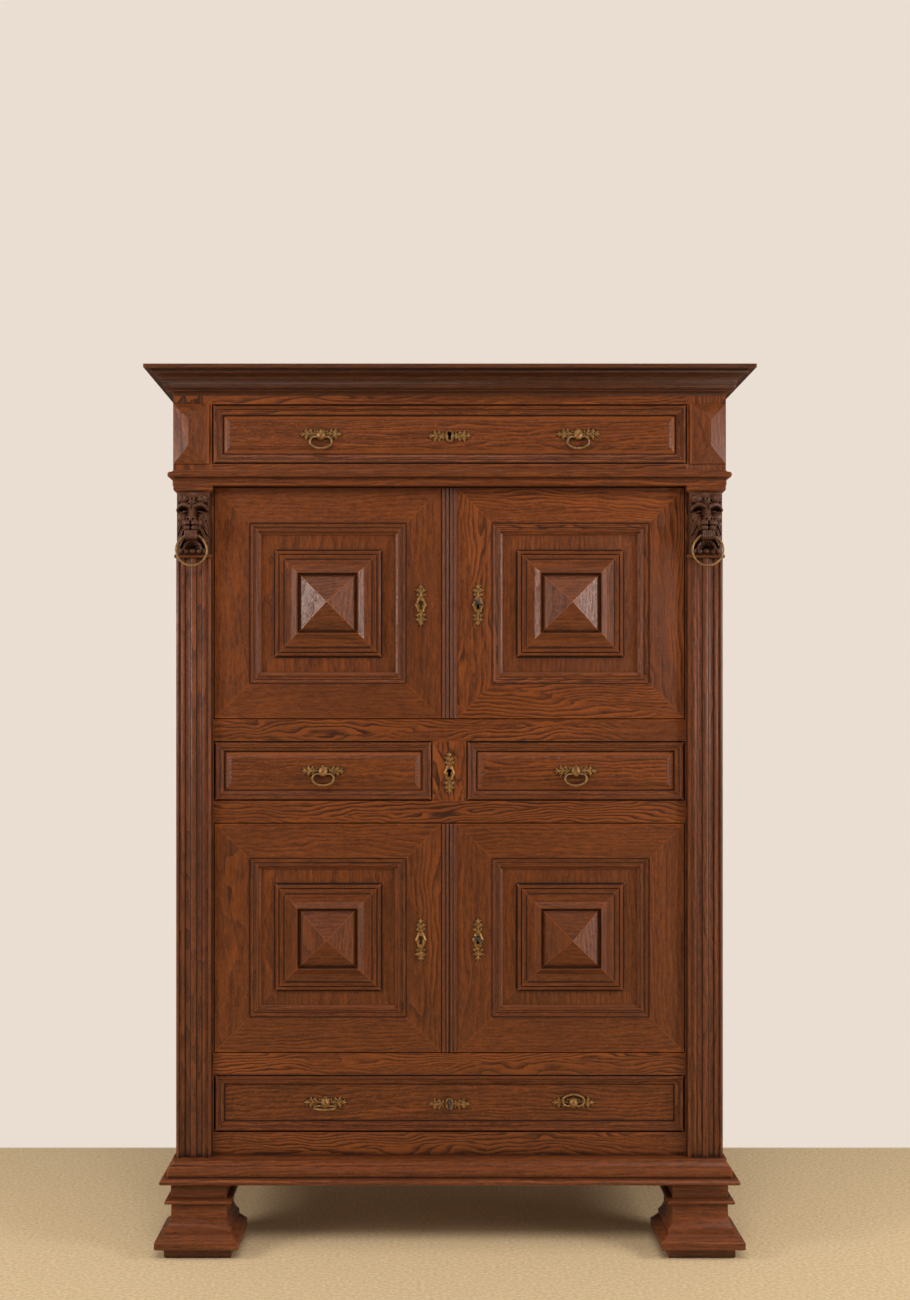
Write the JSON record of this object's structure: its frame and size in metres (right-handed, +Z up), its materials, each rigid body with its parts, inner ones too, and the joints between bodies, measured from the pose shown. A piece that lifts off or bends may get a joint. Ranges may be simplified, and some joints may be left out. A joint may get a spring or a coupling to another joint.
{
  "type": "cupboard",
  "caption": "Tall oak cupboard on block feet, with panelled doors, moulded drawers, fluted pilasters, carved lion masks with rings, and brass bail pulls.",
  "frame": {"origin": "on the floor, in the middle of the outline seen from above", "axes": "+X to the right as seen from the front, +Y to the back, +Z up"},
  "size_m": [1.346, 0.6, 1.98],
  "materials": {
    "oak": "old wax over reddish brown stain",
    "inner_wood": "bare, darkened with age",
    "brass": "aged, worn bright on edges",
    "steel": "dark and worn"
  },
  "bodies": {
    "carcase": {"front_feet": "oak", "rear_feet": "oak", "base_moulding": "oak", "face_frame": "oak", "pilasters": "oak", "pilaster_caps": "oak", "lion_masks": "oak", "frieze_frame": "oak", "frieze_blocks": "oak", "waist_moulding": "oak", "cornice": "oak", "top_board": "inner_wood", "side_frames": "oak", "side_panels": "oak", "back_boards": "inner_wood", "shelves_and_stops": "inner_wood", "divider_boards": "inner_wood", "drawer_runners": "inner_wood", "centre_lock": "brass", "pivot_plates": "brass"},
    "lower_left_door": {"lower_left_door_frame": "oak", "lower_left_door_panel": "oak", "lower_left_door_fittings": "brass"},
    "lower_right_door": {"lower_right_door_frame": "oak", "lower_right_door_panel": "oak", "lower_right_door_fittings": "brass", "lower_right_door_strip": "oak"},
    "lower_right_door_key": {"lower_right_door_key": "steel"},
    "lower_right_door_bolt": {"lower_right_door_bolt": "steel"},
    "upper_left_door": {"upper_left_door_frame": "oak", "upper_left_door_panel": "oak", "upper_left_door_fittings": "brass"},
    "upper_right_door": {"upper_right_door_frame": "oak", "upper_right_door_panel": "oak", "upper_right_door_fittings": "brass", "upper_right_door_strip": "oak"},
    "upper_right_door_key": {"upper_right_door_key": "steel"},
    "upper_right_door_bolt": {"upper_right_door_bolt": "steel"},
    "bottom_drawer": {"bottom_drawer_front": "oak", "bottom_drawer_box": "inner_wood", "bottom_drawer_plates": "brass"},
    "middle_left_drawer": {"middle_left_drawer_front": "oak", "middle_left_drawer_box": "inner_wood", "middle_left_drawer_plates": "brass"},
    "middle_right_drawer": {"middle_right_drawer_front": "oak", "middle_right_drawer_box": "inner_wood", "middle_right_drawer_plates": "brass"},
    "top_drawer": {"top_drawer_front": "oak", "top_drawer_box": "inner_wood", "top_drawer_plates": "brass"},
    "bottom_drawer_key": {"bottom_drawer_key": "steel"},
    "bottom_drawer_bolt": {"bottom_drawer_bolt": "steel"},
    "top_left_bail": {"top_left_bail": "brass"},
    "top_right_bail": {"top_right_bail": "brass"},
    "middle_left_bail": {"middle_left_bail": "brass"},
    "middle_right_bail": {"middle_right_bail": "brass"},
    "bottom_left_bail": {"bottom_left_bail": "brass"},
    "bottom_right_bail": {"bottom_right_bail": "brass"},
    "left_ring": {"left_ring": "brass"},
    "right_ring": {"right_ring": "brass"}
  },
  "joints": [
    {"name": "lower_left_door_swing", "type": "hinge", "parent": "carcase", "child": "lower_left_door", "pos_m": [-0.5175, -0.22, 0.706], "axis": [0, 0, -1], "range_deg": [0, 90]},
    {"name": "lower_right_door_swing", "type": "hinge", "parent": "carcase", "child": "lower_right_door", "pos_m": [0.5175, -0.22, 0.706], "axis": [0, 0, 1], "range_deg": [0, 90]},
    {"name": "lower_right_door_key_turn", "type": "hinge", "parent": "lower_right_door", "child": "lower_right_door_key", "pos_m": [0.0645, -0.226, 0.706], "axis": [0, -1, 0], "range_deg": [0, 180]},
    {"name": "lower_right_door_bolt_shoot", "type": "slide", "parent": "lower_right_door", "child": "lower_right_door_bolt", "axis": [-1, 0, 0], "range_m": [0, 0.01]},
    {"name": "upper_left_door_swing", "type": "hinge", "parent": "carcase", "child": "upper_left_door", "pos_m": [-0.5175, -0.22, 1.461], "axis": [0, 0, -1], "range_deg": [0, 90]},
    {"name": "upper_right_door_swing", "type": "hinge", "parent": "carcase", "child": "upper_right_door", "pos_m": [0.5175, -0.22, 1.461], "axis": [0, 0, 1], "range_deg": [0, 90]},
    {"name": "upper_right_door_key_turn", "type": "hinge", "parent": "upper_right_door", "child": "upper_right_door_key", "pos_m": [0.0645, -0.226, 1.461], "axis": [0, -1, 0], "range_deg": [0, 180]},
    {"name": "upper_right_door_bolt_shoot", "type": "slide", "parent": "upper_right_door", "child": "upper_right_door_bolt", "axis": [-1, 0, 0], "range_m": [0, 0.01]},
    {"name": "bottom_drawer_slide", "type": "slide", "parent": "carcase", "child": "bottom_drawer", "axis": [0, -1, 0], "range_m": [0, 0.35]},
    {"name": "middle_left_drawer_slide", "type": "slide", "parent": "carcase", "child": "middle_left_drawer", "axis": [0, -1, 0], "range_m": [0, 0.35]},
    {"name": "middle_right_drawer_slide", "type": "slide", "parent": "carcase", "child": "middle_right_drawer", "axis": [0, -1, 0], "range_m": [0, 0.35]},
    {"name": "top_drawer_slide", "type": "slide", "parent": "carcase", "child": "top_drawer", "axis": [0, -1, 0], "range_m": [0, 0.35]},
    {"name": "bottom_drawer_key_turn", "type": "hinge", "parent": "bottom_drawer", "child": "bottom_drawer_key", "pos_m": [0, -0.226, 0.332], "axis": [0, -1, 0], "range_deg": [0, 180]},
    {"name": "bottom_drawer_bolt_shoot", "type": "slide", "parent": "bottom_drawer", "child": "bottom_drawer_bolt", "axis": [0, 0, 1], "range_m": [0, 0.01]},
    {"name": "top_left_bail_swing", "type": "hinge", "parent": "top_drawer", "child": "top_left_bail", "pos_m": [-0.288, -0.25, 1.8315], "axis": [-1, 0, 0], "range_deg": [0, 180]},
    {"name": "top_right_bail_swing", "type": "hinge", "parent": "top_drawer", "child": "top_right_bail", "pos_m": [0.288, -0.25, 1.8315], "axis": [-1, 0, 0], "range_deg": [0, 180]},
    {"name": "middle_left_bail_swing", "type": "hinge", "parent": "middle_left_drawer", "child": "middle_left_bail", "pos_m": [-0.285, -0.23, 1.076], "axis": [-1, 0, 0], "range_deg": [0, 180]},
    {"name": "middle_right_bail_swing", "type": "hinge", "parent": "middle_right_drawer", "child": "middle_right_bail", "pos_m": [0.285, -0.23, 1.076], "axis": [-1, 0, 0], "range_deg": [0, 180]},
    {"name": "bottom_left_bail_swing", "type": "hinge", "parent": "bottom_drawer", "child": "bottom_left_bail", "pos_m": [-0.2805, -0.223, 0.3255], "axis": [-1, 0, 0], "range_deg": [-90, 90]},
    {"name": "bottom_right_bail_swing", "type": "hinge", "parent": "bottom_drawer", "child": "bottom_right_bail", "pos_m": [0.2805, -0.223, 0.3255], "axis": [-1, 0, 0], "range_deg": [-180, 0]},
    {"name": "left_ring_swing", "type": "hinge", "parent": "carcase", "child": "left_ring", "pos_m": [-0.575, -0.261, 1.611], "axis": [-1, 0, 0], "range_deg": [0, 90]},
    {"name": "right_ring_swing", "type": "hinge", "parent": "carcase", "child": "right_ring", "pos_m": [0.575, -0.261, 1.611], "axis": [-1, 0, 0], "range_deg": [0, 90]}
  ],
  "couplings": [
    {"joint": "lower_right_door_key_turn", "follows": "lower_right_door_bolt_shoot", "rad_per_m": 314.16},
    {"joint": "upper_right_door_key_turn", "follows": "upper_right_door_bolt_shoot", "rad_per_m": 314.16},
    {"joint": "bottom_drawer_key_turn", "follows": "bottom_drawer_bolt_shoot", "rad_per_m": 314.16}
  ]
}
